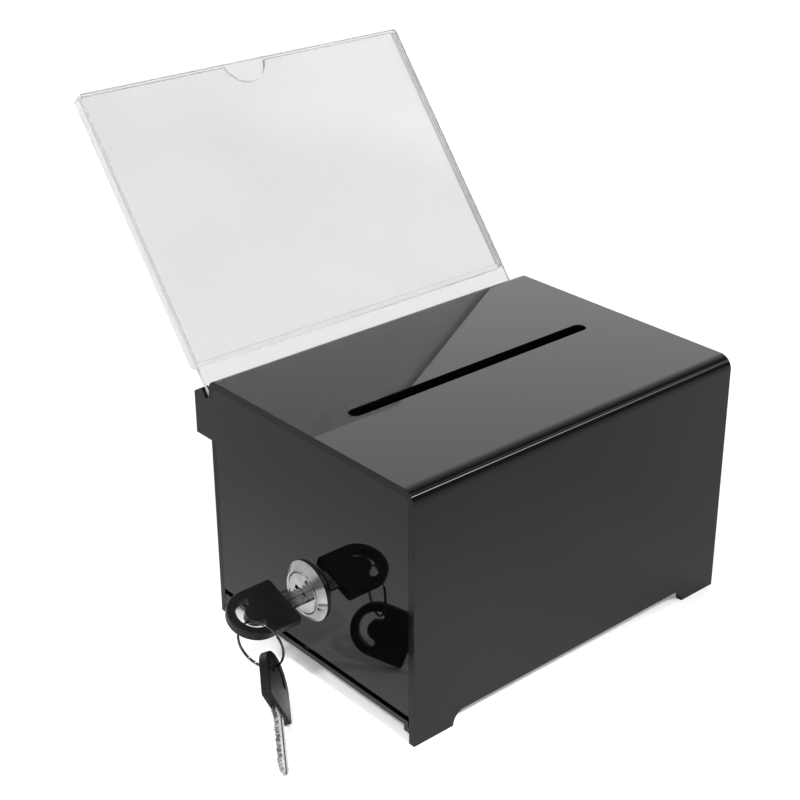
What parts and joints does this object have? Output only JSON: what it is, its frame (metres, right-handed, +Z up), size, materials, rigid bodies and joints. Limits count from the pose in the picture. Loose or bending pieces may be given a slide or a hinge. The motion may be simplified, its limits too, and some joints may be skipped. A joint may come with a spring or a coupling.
{
  "type": "ballot box",
  "caption": "Small bent-sheet ballot box with a slotted top, a side cam lock with keys on a split ring, a sliding floor, and a clear leaning sign holder carried on rear ears.",
  "frame": {"origin": "middle of the box's footprint, on the plane that the four feet stand on", "axes": "+X to the right along the front, +Y from the front to the back with the sign holder, +Z up; the lock is in the -X side"},
  "size_m": [0.2041, 0.1961, 0.1903],
  "materials": {
    "black_acrylic": "polished",
    "clear_acrylic": "clear, polished",
    "chrome": "bright plated",
    "steel": "zinc plated",
    "brass": "stamped",
    "nickel": "nickel plated",
    "black_plastic": "satin"
  },
  "bodies": {
    "case": {"wrap_sheet": "black_acrylic", "left_side_panel": "black_acrylic", "right_side_panel": "black_acrylic", "front_floor_rail": "black_acrylic", "rear_floor_rail": "black_acrylic", "lock_housing": "chrome", "lock_washer": "steel", "lock_nut": "steel"},
    "floor": {"floor_plate": "black_acrylic"},
    "sign_holder": {"sign_front_sheet": "clear_acrylic", "sign_rear_sheet": "clear_acrylic", "sign_spacer_strip": "clear_acrylic"},
    "plug": {"lock_plug": "chrome", "wafer_tumblers": "brass", "wafer_springs": "steel", "cam_stop_washer": "steel", "lock_cam": "steel", "cam_washer": "steel", "cam_screw": "steel"},
    "key": {"key_blade": "nickel", "key_bow": "black_plastic"},
    "ring": {"key_ring": "steel"},
    "spare_key": {"spare_key_blade": "nickel", "spare_key_bow": "black_plastic"}
  },
  "joints": [
    {"name": "floor_slide", "type": "slide", "parent": "case", "child": "floor", "axis": [1, 0, 0], "range_m": [0, 0.17]},
    {"name": "sign_lift", "type": "slide", "parent": "case", "child": "sign_holder", "axis": [0, 0.6184, 0.7859], "range_m": [0, 0.04]},
    {"name": "plug_turn", "type": "hinge", "parent": "case", "child": "plug", "pos_m": [-0.0794, 0, 0.0365], "axis": [1, 0, 0], "range_deg": [0, 70]},
    {"name": "key_pull", "type": "slide", "parent": "plug", "child": "key", "axis": [-1, 0, 0], "range_m": [0, 0.03]},
    {"name": "ring_hang", "type": "hinge", "parent": "key", "child": "ring", "pos_m": [-0.10345, -0.00733, 0.03385], "axis": [1, 0, 0], "range_deg": [-84, 0]},
    {"name": "spare_swing", "type": "hinge", "parent": "ring", "child": "spare_key", "pos_m": [-0.10461, -0.00822, 0.01904], "axis": [-0.3299, 0.9079, -0.2584], "range_deg": [0, 60]}
  ],
  "couplings": [
    {"joint": "ring_hang", "follows": "plug_turn", "ratio": -1.2}
  ]
}
